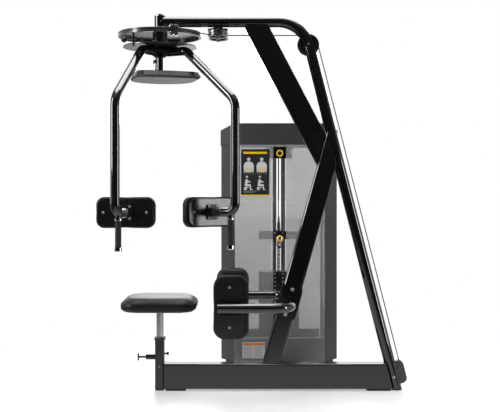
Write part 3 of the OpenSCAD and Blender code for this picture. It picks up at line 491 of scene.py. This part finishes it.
def square_to(axis):
    """Some direction square to a unit axis."""
    return axis.cross(UP if abs(axis.z) < 0.9 else Vector((1, 0, 0)))


def axes_round(axis):
    """(unit axis, two unit directions square to it and to each other)"""
    axis = Vector(axis).normalized()
    side = square_to(axis).normalized()
    return axis, side, axis.cross(side)


def tube_along(name, points, radius, key, body, closed=False, sides=10):
    """Round bar along a polyline, as a mesh."""
    bm = bmesh.new()
    pts = [Vector(p) for p in points]
    n = len(pts)
    rings = []
    prev = None
    for i, p in enumerate(pts):
        a = pts[(i - 1) % n] if closed or i > 0 else p
        b = pts[(i + 1) % n] if closed or i < n - 1 else p
        d = (b - a).normalized()
        side = square_to(d) if prev is None else prev - d * prev.dot(d)
        side.normalize()
        prev = side
        other = d.cross(side)
        rings.append([p + side * (radius * math.cos(2 * math.pi * k / sides))
                      + other * (radius * math.sin(2 * math.pi * k / sides)) for k in range(sides)])
    rows = loft(bm, rings, cap_ends=not closed)
    if closed:
        for i in range(sides):
            j = (i + 1) % sides
            bm.faces.new((rows[-1][i], rows[-1][j], rows[0][j], rows[0][i]))
    return new_object(name, bm, key, body)


def turned(name, origin, axis, profile, key, body, sides=40):
    """Solid of revolution: profile is (distance along axis, radius) pairs."""
    axis, side, other = axes_round(axis)
    bm = bmesh.new()
    rings = [[Vector(origin) + axis * z + side * (r * math.cos(2 * math.pi * k / sides))
              + other * (r * math.sin(2 * math.pi * k / sides)) for k in range(sides)] for z, r in profile]
    loft(bm, rings)
    return new_object(name, bm, key, body)


# ---------------------------------------------------------------- upholstery
def dense(points, gap=0.006):
    """Closed line with points no further apart than gap."""
    out = []
    for a, b in zip(points, points[1:] + points[:1]):
        count = max(1, math.ceil((b - a).length / gap))
        out += [a.lerp(b, k / count) for k in range(count)]
    return out


def hug(points, obj, lift):
    """The same line laid on an object's surface."""
    mesh = obj.data
    tree = BVHTree.FromPolygons([v.co for v in mesh.vertices], [tuple(f.vertices) for f in mesh.polygons])
    out = []
    for p in points:
        at, normal, _, _ = tree.find_nearest(p)
        out.append(at + normal * lift)
    return out


def upholster(node, body, radius, steps, front, cap, welts, name):
    """Swollen pad with welts sewn round it."""
    matrix, half = slab_frame(node)
    bm = pad_mesh(half, radius, steps, front)
    bmesh.ops.transform(bm, matrix=matrix, verts=bm.verts)
    obj = new_object(name, bm, "pad_black", body)
    swell(obj, matrix, front, cap)
    obj.data.shade_smooth()
    smooth = obj.modifiers.new("smooth", "SUBSURF")
    smooth.levels = 1
    smooth.render_levels = 1
    apply_modifiers(obj)
    obj.data.shade_smooth()
    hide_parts(node)
    for k, (inset, z) in enumerate(welts):
        line = [matrix @ Vector(p) for p in scaled_outline(half.x, half.y, radius, inset, half.z * z * front)]
        line = hug(dense(line), obj, WELT_LIFT)
        welt = tube_along("%s_welt_%d" % (name, k), line, WELT_R, "pad_black", body, closed=True, sides=8)
    return obj


WELT_R = 0.0019
WELT_LIFT = 0.0004
PAD_WELTS = ((0.001, -0.80), (0.002, 0.48))
SEAT_WELTS = ((0.004, -0.60), (0.006, 0.42))
PADS = (
    ("seat_cushion", "seat", 0.085, SEAT_STEPS, 0.010, SEAT_WELTS, UP),
    ("near_leg_pad", "frame", 0.055, PAD_STEPS, 0.008, PAD_WELTS, Vector((0, 1, 0))),
    ("far_leg_pad", "frame", 0.055, PAD_STEPS, 0.008, PAD_WELTS, Vector((0, -1, 0))),
    ("left_chest_pad", "rig", 0.040, PAD_STEPS, 0.008, PAD_WELTS, None),
    ("right_chest_pad", "rig", 0.040, PAD_STEPS, 0.008, PAD_WELTS, None),
)


def facing(node, toward):
    """1 or -1: which way along the pad's own z its soft face looks."""
    matrix, _ = slab_frame(node)
    return 1 if matrix.col[2].to_3d().dot(toward) > 0 else -1


def middle(node):
    lo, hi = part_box(node)
    return (lo + hi) / 2


def inward(node):
    """From a piece to the machine's turning axis."""
    m = middle(node)
    return Vector((-m.x, -m.y, 0))


for pad, body, radius, steps, cap, welts, toward in PADS:
    side = facing(pad, toward or inward(pad))
    upholster(pad, body, radius, steps, side, cap, welts, pad.replace("_cushion", "") + "_cover")


# ---------------------------------------------------------------- fittings
def islands(name):
    """(lowest, highest) corner of each separate solid of a CAD node."""
    mesh = NODES[name].data
    bm = bmesh.new()
    bm.from_mesh(mesh)
    bmesh.ops.remove_doubles(bm, verts=bm.verts, dist=1e-6)
    seen, found = set(), []
    for v in bm.verts:
        if v.index in seen:
            continue
        stack, lo, hi = [v], v.co.copy(), v.co.copy()
        seen.add(v.index)
        while stack:
            w = stack.pop()
            lo = Vector(map(min, lo, w.co))
            hi = Vector(map(max, hi, w.co))
            for e in w.link_edges:
                o = e.other_vert(w)
                if o.index not in seen:
                    seen.add(o.index)
                    stack.append(o)
        found.append((lo, hi))
    bm.free()
    return sorted(found, key=lambda box: tuple(box[0]))


def grip_profile(length, radius):
    """Moulded grip: flange, ribbed middle, flange."""
    rows = [(0.0, radius - 0.0025), (0.0008, radius + 0.0004), (0.0050, radius + 0.0004),
            (0.0062, radius - 0.0012)]
    z = 0.010
    while z < length - 0.012:
        rows += [(z, radius - 0.0012), (z + 0.0008, radius - 0.0004), (z + 0.0036, radius - 0.0004),
                 (z + 0.0044, radius - 0.0012)]
        z += 0.0058
    rows += [(length - 0.0062, radius - 0.0012), (length - 0.0050, radius + 0.0004),
             (length - 0.0008, radius + 0.0004), (length, radius - 0.0025)]
    return rows


for i, (lo, hi) in enumerate(islands("handle_grips")):
    r = (hi.x - lo.x) / 2 - 0.0004
    base = Vector(((lo.x + hi.x) / 2, (lo.y + hi.y) / 2, lo.z))
    grip = turned("grip_%d" % i, base, UP, grip_profile(hi.z - lo.z, r), "rubber_black", "rig")
    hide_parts("handle_grips")


def plate(name, lo, hi, key, body, radius=0.004, y_front=None, y_back=None):
    """Thin rounded plate in the XZ plane."""
    y0 = lo.y if y_front is None else y_front
    y1 = hi.y if y_back is None else y_back
    cx, cz = (lo.x + hi.x) / 2, (lo.z + hi.z) / 2
    w, h = (hi.x - lo.x) / 2, (hi.z - lo.z) / 2
    rim = min(0.0004, (y1 - y0) / 3)
    bm = bmesh.new()
    rings = []
    for y, inset in ((y0, rim), (y0 + rim, 0.0), (y1, 0.0)):
        line = outline(w - inset, h - inset, max(radius - inset, 0.0005), 5)
        rings.append([(cx + px, y, cz + pz) for px, pz in line])
    loft(bm, rings)
    return new_object(name, bm, key, body)


def span(lo, hi, u0, u1, v0, v1):
    """Part of a plate's face, by fractions of its width and height."""
    w, h = hi.x - lo.x, hi.z - lo.z
    return (Vector((lo.x + w * u0, lo.y, lo.z + h * v0)), Vector((lo.x + w * u1, hi.y, lo.z + h * v1)))


def disc_points(u, v, r, aspect):
    """Circle in a box's fractions, aspect being the box's width over its height."""
    angles = [math.pi * k / 10 for k in range(20)]
    return [(u + r * math.cos(a), v + r * aspect * math.sin(a)) for a in angles]


def figure(name, lo, hi, shapes, key, y_front, y_back):
    """Plain pictogram built of flat shapes given in fractions of its box."""
    w, h = hi.x - lo.x, hi.z - lo.z
    bm = bmesh.new()
    for shape in shapes:
        pts = [(lo.x + u * w, lo.z + v * h) for u, v in shape]
        loft(bm, [[(x, y_front, z) for x, z in pts], [(x, y_back, z) for x, z in pts]])
    return new_object(name, bm, key, "frame", smooth=False)


BUST = [(0.08, 0.02), (0.04, 0.46), (0.16, 0.62), (0.38, 0.70), (0.62, 0.70), (0.84, 0.62), (0.96, 0.46),
        (0.92, 0.02), (0.78, 0.02), (0.78, 0.34), (0.73, 0.02), (0.27, 0.02), (0.22, 0.34), (0.22, 0.02)]
WAIST = ([(0.34, 0.06), (0.36, 0.32), (0.46, 0.30), (0.46, 0.06)],
         [(0.54, 0.06), (0.54, 0.30), (0.64, 0.32), (0.66, 0.06)])
SITTING = [(0.14, 0.30), (0.20, 0.66), (0.30, 0.74), (0.42, 0.70), (0.44, 0.62), (0.66, 0.58), (0.66, 0.50),
           (0.42, 0.52), (0.38, 0.40), (0.68, 0.38), (0.72, 0.06), (0.84, 0.06), (0.84, 0.00), (0.62, 0.00),
           (0.58, 0.26), (0.20, 0.24)]
BENCH = [(0.08, 0.00), (0.08, 0.20), (0.50, 0.20), (0.50, 0.14), (0.32, 0.14), (0.32, 0.00)]


small, large = sorted(islands("info_plates"), key=lambda box: box[1].z)
for tag, (lo, hi), key in (("notice", small, "print_pale"), ("placard", large, "placard_dark")):
    piece = plate(tag, lo, hi, key, "frame")
    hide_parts("info_plates")
lo, hi = large
skin = lo.y - 0.0003
for tag, area_of, key in (
        ("placard_foot", (0.0, 1.0, 0.0, 0.03), "pin_yellow"),
        ("placard_title", (0.08, 0.92, 0.90, 0.945), "pin_yellow"),
        ("placard_rule", (0.08, 0.92, 0.47, 0.476), "print_grey"),
        ("placard_line_a", (0.08, 0.55, 0.10, 0.112), "print_grey"),
        ("placard_line_b", (0.08, 0.48, 0.075, 0.087), "print_grey")):
    plate(tag, *span(lo, hi, *area_of), key, "frame", 0.0006, skin, lo.y + 0.0004)
aspect = (hi.x - lo.x) * 0.40 / ((hi.z - lo.z) * 0.34)
for k, u in enumerate((0.07, 0.53)):
    box = span(lo, hi, u, u + 0.40, 0.50, 0.84)
    head = disc_points(0.5, 0.84, 0.15, aspect)
    figure("placard_bust_%d" % k, *box, [BUST, head], "print_pale", skin, lo.y + 0.0004)
    figure("placard_waist_%d" % k, *box, WAIST, "pin_yellow", skin - 0.0002, skin + 0.0002)
    box = span(lo, hi, u, u + 0.40, 0.13, 0.45)
    head = disc_points(0.34, 0.88, 0.10, aspect)
    figure("placard_sitting_%d" % k, *box, [SITTING, BENCH, head], "print_pale", skin, lo.y + 0.0004)
lo, hi = small
for k in range(2):
    left = 0.04 + 0.48 * k
    for n in range(5):
        plate("notice_line_%d_%d" % (k, n),
              *span(lo, hi, left + 0.02, left + 0.40 - 0.06 * (n % 2), 0.10 + 0.13 * n, 0.125 + 0.13 * n),
              "print_grey", "frame", 0.0004, lo.y - 0.0002, lo.y + 0.0004)
    plate("notice_bar_%d" % k, *span(lo, hi, left, left + 0.44, 0.80, 0.95), "print_orange", "frame", 0.0008,
          lo.y - 0.0002, lo.y + 0.0004)


def ring(name, centre, axis, big, small_r, key, body, flat=1.0, sides=48, section=14):
    """Torus round an axis, flattened along it by flat."""
    axis, side, other = axes_round(axis)
    bm = bmesh.new()
    rows = []
    for k in range(sides):
        a = 2 * math.pi * k / sides
        out = side * math.cos(a) + other * math.sin(a)
        rows.append([bm.verts.new(Vector(centre) + out * (big + small_r * math.cos(b))
                                  + axis * (small_r * flat * math.sin(b)))
                     for b in [2 * math.pi * m / section for m in range(section)]])
    for k in range(sides):
        n = (k + 1) % sides
        for m in range(section):
            q = (m + 1) % section
            bm.faces.new((rows[k][m], rows[n][m], rows[n][q], rows[k][q]))
    return new_object(name, bm, key, body)


# selector pin: steel rod, chromed core, yellow ring
lo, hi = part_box("selector_pin")
centre = Vector(((lo.x + hi.x) / 2, lo.y, (lo.z + hi.z) / 2))
into = Vector((0, 1, 0))
parts = [
    turned("selector_rod", centre + into * 0.016, into,
           [(0.0, 0.005), (hi.y - lo.y - 0.019, 0.005), (hi.y - lo.y - 0.016, 0.003)], "steel", "selector"),
    turned("selector_core", centre, into, [(0.0, 0.004), (0.0008, 0.008), (0.0030, 0.0112), (0.012, 0.0120),
                                           (0.016, 0.010)], "chrome", "selector"),
    ring("selector_ring", centre + into * 0.008, into, 0.0152, 0.0037, "pin_yellow", "selector", 1.6),
]
for piece in parts:
    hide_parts("selector_pin")

# yellow ring on the front of the increment weight
lo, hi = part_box("increment_weight")
front = Vector(((lo.x + hi.x) / 2, lo.y - 0.0005, lo.z + 0.020))
increment_ring = ring("increment_ring", front, into, 0.0150, 0.0036, "pin_yellow", "increment", 0.8)

# curly lanyard from the selector pin to the plates
plates_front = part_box("lifted_plates")[0].y
start = centre + Vector((0.006, 0.013, -0.012))
end = Vector((centre.x - 0.030, plates_front - 0.004, centre.z + 0.012))
turns, steps = 17, 340
points = []
for k in range(steps + 1):
    t = k / steps
    base = start.lerp(end, t) + Vector((0.010 * math.sin(math.pi * t), 0, -0.052 * math.sin(math.pi * t)))
    wind = 2 * math.pi * turns * t
    reach = 0.0045 * min(1.0, 8 * t, 8 * (1 - t))
    curl = Vector((reach * math.cos(wind), 0.2 * reach * math.sin(wind), reach * math.sin(wind)))
    points.append(base + curl)
lanyard = tube_along("selector_lanyard", points, 0.0011, "cable_black", "stack", sides=6)


# ---------------------------------------------------------------- screws
def socket_head(name, centre, axis, radius, height, key, body):
    """Button-head screw with a hexagon socket."""
    axis, side, other = axes_round(axis)

    def circle(r, z, corners=False):
        pts = []
        for k in range(36):
            a = 2 * math.pi * k / 36
            rr = r
            if corners:
                b = (a + math.pi / 6) % (math.pi / 3) - math.pi / 6
                rr = r / math.cos(b)
            pts.append(Vector(centre) + axis * z + side * (rr * math.cos(a)) + other * (rr * math.sin(a)))
        return pts

    bm = bmesh.new()
    rings = [circle(radius * 0.98, 0.0), circle(radius, height * 0.15), circle(radius * 0.97, height * 0.4),
             circle(radius * 0.86, height * 0.72), circle(radius * 0.66, height * 0.93),
             circle(radius * 0.52, height),
             circle(radius * 0.40, height, True), circle(radius * 0.385, height * 0.93, True),
             circle(radius * 0.385, height * 0.35, True)]
    loft(bm, rings)
    return new_object(name, bm, key, body)


knob_lo, knob_hi = Vector((9, 9, 9)), Vector((-9, -9, -9))
for k, (lo, hi) in enumerate(islands("frame_bolts")):
    size, mid = hi - lo, (lo + hi) / 2
    if abs(mid.y) < 0.005:
        knob_lo = Vector(map(min, knob_lo, lo))
        knob_hi = Vector(map(max, knob_hi, hi))
        continue
    out = -1 if mid.y < 0 else 1
    base = Vector((mid.x, hi.y if out < 0 else lo.y, mid.z))
    head = socket_head("frame_screw_%d" % k, base, (0, out, 0), size.x / 2, size.y, "zinc", "frame")
    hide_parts("frame_bolts")

r, length = (knob_hi.z - knob_lo.z) / 2, knob_hi.x - knob_lo.x
knob_at = Vector((knob_lo.x, 0, (knob_lo.z + knob_hi.z) / 2))
knob = turned("lock_knob", knob_at, (1, 0, 0),
              [(0, 0.004), (length * 0.50, 0.004), (length * 0.54, r * 0.85), (length * 0.60, r),
               (length * 0.92, r), (length, r * 0.8)], "soft_black", "frame", 24)
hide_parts("frame_bolts")

# heads on the chest boards and on their bracket plates
BOARD_OUT = 0.0122
PLATE_OUT = BOARD_OUT + 0.0082
PLATE_BOLT = (0.0235, 0.0285)
HEAD_H = 0.0035
for pad in ("left_chest_pad", "right_chest_pad"):
    matrix, half = slab_frame(pad)
    back = matrix.col[2].to_3d() * -facing(pad, inward(pad))
    spots = [(u * half.x * 0.72, 0.0, BOARD_OUT, 0.0065) for u in (-1, 1)]
    spots += [(u * PLATE_BOLT[0], v * PLATE_BOLT[1], PLATE_OUT, 0.0060) for u in (-1, 1) for v in (-1, 1)]
    for k, (u, v, out, r) in enumerate(spots):
        at = matrix @ Vector((u, v, 0)) + back * (half.z + out)
        head = socket_head("%s_screw_%d" % (pad, k), at, back, r, HEAD_H, "zinc", "rig")

# black clamp round the stay rod and a knob on its screw
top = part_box("stay_rod")[1].z
rod_points = [v.co for v in NODES["stay_rod"].data.vertices]
ends = [p for p in rod_points if p.z > top - 0.0005]
rod_axis = sum(ends, Vector()) / len(ends)
CLAMP_Z = 1.642
far = max((p for p in rod_points if abs(p.z - CLAMP_Z) < 0.005),
          key=lambda p: math.hypot(p.x - rod_axis.x, p.y - rod_axis.y))
stub = Vector((far.x - rod_axis.x, far.y - rod_axis.y, 0))
clamp = turned("stay_clamp", Vector((rod_axis.x, rod_axis.y, CLAMP_Z - 0.0095)), UP,
               [(0, 0.0105), (0.001, 0.0117), (0.018, 0.0117), (0.019, 0.0105)], "soft_black", "rig", 32)
stay_knob = turned("stay_knob", Vector((rod_axis.x, rod_axis.y, CLAMP_Z)) + stub * 0.62, stub,
                   [(0, 0.006), (0.001, 0.0085), (0.009, 0.0085), (0.0105, 0.0065)], "soft_black", "rig", 24)

# pale labels on both sides of the pin holes of the plates
LABEL_X, LABEL_HALF_W, LABEL_HALF_H = 0.021, 0.0045, 0.0035
for tag, node, body in (("stack", "weight_plates", "frame"), ("lifted", "lifted_plates", "stack")):
    for k, (lo, hi) in enumerate(sorted(islands(node), key=lambda box: box[0].z)):
        mid = (lo + hi) / 2
        for side, x in (("l", -LABEL_X), ("r", LABEL_X)):
            a = Vector((mid.x + x - LABEL_HALF_W, lo.y, mid.z - LABEL_HALF_H))
            b = Vector((mid.x + x + LABEL_HALF_W, hi.y, mid.z + LABEL_HALF_H))
            plate("%s_label_%s_%d" % (tag, side, k), a, b, "print_pale", body, 0.0012,
                  lo.y - 0.0003, lo.y + 0.0003)

# softened edges on the solid pieces
for name, width in (("weight_plates", 0.0016), ("lifted_plates", 0.0016), ("increment_weight", 0.0016),
                    ("leg_boards", 0.0050), ("chest_boards", 0.0050), ("top_cap", 0.0030),
                    ("side_panels", 0.0008), ("tower_base", 0.0010), ("leg_bracket", 0.0015),
                    ("rear_pulley_guard", 0.0012)):
    bevel = NODES[name].modifiers.new("edge", "BEVEL")
    bevel.width = width
    bevel.segments = 3
    bevel.limit_method = "ANGLE"
    bevel.angle_limit = math.radians(32)
    bevel.harden_normals = False


# ---------------------------------------------------------------- stage
# brightness of the white backdrop, of the dim room before it, and of both in glossy reflections
BACKDROP = 1.0
ROOM = 0.03
MIRROR_GAIN = 1.25


def area(name, location, target, size, power, size_y=None):
    data = bpy.data.lights.new(name, "AREA")
    data.energy = power
    data.size = size
    if size_y:
        data.shape = "RECTANGLE"
        data.size_y = size_y
    obj = bpy.data.objects.new(name, data)
    bpy.context.scene.collection.objects.link(obj)
    obj.location = location
    obj.rotation_euler = (Vector(target) - Vector(location)).to_track_quat("-Z", "Y").to_euler()
    return obj


def camera_only(g, seen, otherwise):
    """One shader for camera rays, another for every other ray."""
    path = g.add("ShaderNodeLightPath")
    mix = g.add("ShaderNodeMixShader")
    g.link(path.outputs["Is Camera Ray"], mix.inputs[0])
    g.link(otherwise, mix.inputs[1])
    g.link(seen, mix.inputs[2])
    return mix.outputs[0]


def floor():
    """Pale floor that melts into the white backdrop away from the machine. Reflections see only glow from it:
    a bright patch in front of the machine, no lamp, that paints highlights on the lower sides of the tubes,
    and a faint glow behind.
    """
    bm = bmesh.new()
    bmesh.ops.create_grid(bm, x_segments=1, y_segments=1, size=30.0)
    mesh = bpy.data.meshes.new("floor")
    bm.to_mesh(mesh)
    bm.free()
    obj = bpy.data.objects.new("floor", mesh)
    obj.location = (0.5, 0.1, CAD_LO.z - 0.0005)
    bpy.context.scene.collection.objects.link(obj)
    g = Graph("floor_paint")
    paint_node = g.surface((0.88, 0.88, 0.88), g.remap(g.noise(2.0), 0.3, 0.7, 0.32, 0.42))
    glow = g.add("ShaderNodeEmission")
    reach = g.add("ShaderNodeVectorMath", operation="LENGTH")
    g.link(g.coords, reach.inputs[0])
    fade = g.remap(reach.outputs["Value"], 0.7, 2.0, 0.35, 1.0)
    mix = g.add("ShaderNodeMixShader")
    g.link(fade, mix.inputs[0])
    g.link(paint_node.outputs[0], mix.inputs[1])
    g.link(glow.outputs[0], mix.inputs[2])
    across = g.add("ShaderNodeSeparateXYZ")
    g.link(g.coords, across.inputs[0])
    behind = g.remap(across.outputs["Y"], 0.3, 3.0, 0.0, 1.0)
    # painted reflection: how strongly the floor in front of the machine glows in reflections, for bright
    # highlights on the lower sides of the tubes
    front = g.remap(across.outputs["Y"], -3.6, -0.6, 0.0, 0.8)
    near = g.remap(g.maths("ABSOLUTE", across.outputs["X"], 0.0), 0.8, 2.0, 1.0, 0.1)
    front = g.maths("MULTIPLY", front, near)
    glossy = g.add("ShaderNodeLightPath").outputs["Is Glossy Ray"]
    # glow seen only by glossy rays: a painted reflection of a bright floor
    painted_floor_reflection = g.add("ShaderNodeEmission")
    gain = g.maths("ADD", front, g.maths("MULTIPLY", behind, MIRROR_GAIN - 1.0))
    g.link(g.maths("MULTIPLY", gain, glossy), painted_floor_reflection.inputs["Strength"])
    far = g.add("ShaderNodeMixShader")
    g.link(g.maths("MAXIMUM", behind, glossy), far.inputs[0])
    g.link(paint_node.outputs[0], far.inputs[1])
    lit = g.add("ShaderNodeMixShader")
    g.link(glossy, lit.inputs[0])
    g.link(glow.outputs[0], lit.inputs[1])
    g.link(painted_floor_reflection.outputs[0], lit.inputs[2])
    g.link(lit.outputs[0], far.inputs[2])
    g.link(camera_only(g, mix.outputs[0], far.outputs[0]), g.out.inputs["Surface"])
    mesh.materials.append(g.mat)


floor()
target = (0.5, 0.1, 0.9)
area("key", (-3.6, -1.6, 2.4), target, 0.8, 120.0, 2.6)
area("fill", (4.0, -1.4, 1.15), (0.5, -0.1, 0.95), 0.5, 34.0, 1.6)
area("top", (0.4, 0.2, 4.4), target, 3.5, 170.0, 2.5)
area("rear", (0.6, 4.6, 2.6), target, 3.0, 90.0, 2.0)


def studio_world():
    """White backdrop behind the machine, dim room on the camera's side, seen by every reflection."""
    world = bpy.data.worlds.new("studio")
    bpy.context.scene.world = world
    world.use_nodes = True
    g = Graph.__new__(Graph)
    g.tree = world.node_tree
    g.tree.nodes.clear()
    g.out = g.add("ShaderNodeOutputWorld")
    look = g.add("ShaderNodeSeparateXYZ")
    g.link(g.add("ShaderNodeTexCoord").outputs["Generated"], look.inputs[0])
    behind = g.remap(look.outputs["Y"], 0.2, 0.8, 0.0, BACKDROP)
    above = g.remap(look.outputs["Z"], 0.55, 0.97, 0.0, 0.5)
    side = g.maths("ABSOLUTE", look.outputs["X"], 0.0)
    wings = g.remap(side, 0.93, 0.995, 0.0, 0.8)
    room = g.maths("ADD", g.maths("MAXIMUM", g.maths("MAXIMUM", behind, above), wings), ROOM)
    glossy = g.add("ShaderNodeLightPath").outputs["Is Glossy Ray"]
    room = g.maths("MULTIPLY", room, g.remap(glossy, 0.0, 1.0, 1.0, MIRROR_GAIN))
    glow = g.add("ShaderNodeBackground")
    g.link(room, glow.inputs[1])
    seen = g.add("ShaderNodeBackground")
    for node in (glow, seen):
        node.inputs[0].default_value = (1.0, 1.0, 1.0, 1.0)
    seen.inputs[1].default_value = 1.0
    g.link(camera_only(g, seen.outputs[0], glow.outputs[0]), g.out.inputs[0])


studio_world()
bpy.context.scene.view_settings.view_transform = "Standard"

camera_data = bpy.data.cameras.new("camera")
camera = bpy.data.objects.new("camera", camera_data)
bpy.context.scene.collection.objects.link(camera)
camera.location = (0.45, -4.85, 0.997)
camera.rotation_euler = (math.radians(90), 0, 0)
camera_data.lens = 69.84
camera_data.shift_y = -0.032
bpy.context.scene.camera = camera
